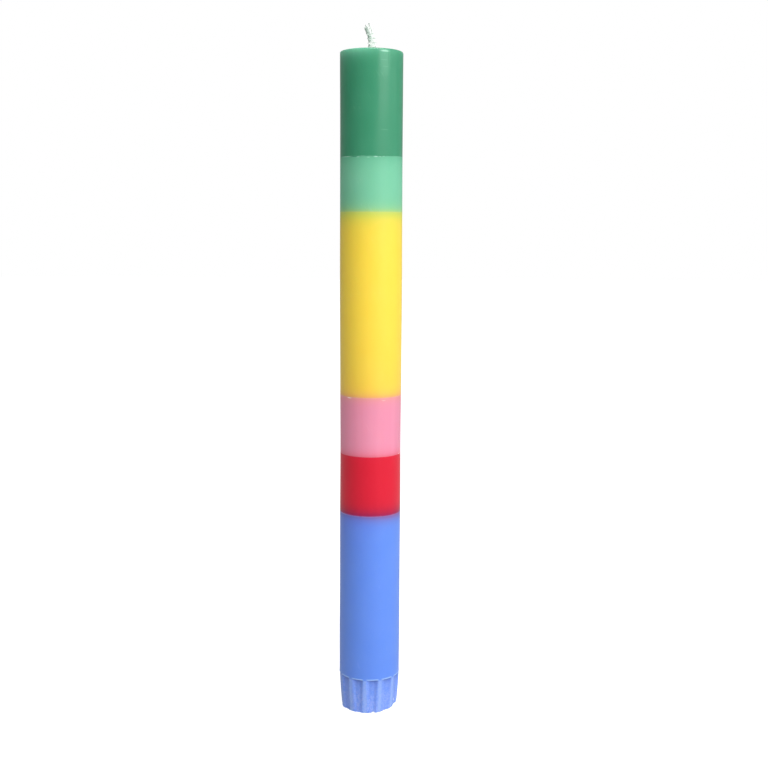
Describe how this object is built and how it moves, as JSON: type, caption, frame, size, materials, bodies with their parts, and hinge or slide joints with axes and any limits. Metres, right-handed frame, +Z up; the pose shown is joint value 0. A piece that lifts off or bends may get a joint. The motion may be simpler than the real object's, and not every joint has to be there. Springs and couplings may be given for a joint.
{
  "type": "taper candle",
  "caption": "Straight dinner candle of stacked wax colour bands round a flat plaited cotton wick, with a rounded top and a tapered, fluted foot for a candle holder.",
  "frame": {"origin": "middle of the foot's flat base, where the candle stands", "axes": "+Z up along the candle to the wick, -Y to the front that the picture shows, +X to its right"},
  "size_m": [0.0234, 0.0234, 0.26],
  "materials": {
    "blue_wax": "cornflower blue paraffin wax, satin, dyed right through",
    "red_wax": "crimson red paraffin wax, satin, dyed right through",
    "pink_wax": "rose pink paraffin wax, satin, dyed right through",
    "yellow_wax": "lemon yellow paraffin wax, satin, dyed right through",
    "mint_wax": "mint green paraffin wax, satin, dyed right through",
    "green_wax": "leaf green paraffin wax, satin, dyed right through",
    "wick_cotton": "white cotton, waxed, three flat strands plaited"
  },
  "bodies": {
    "root": {"blue_foot_band": "blue_wax", "red_band": "red_wax", "pink_band": "pink_wax", "yellow_band": "yellow_wax", "mint_band": "mint_wax", "green_top_band": "green_wax", "wick_strand_1": "wick_cotton", "wick_strand_2": "wick_cotton", "wick_strand_3": "wick_cotton"}
  },
  "joints": []
}
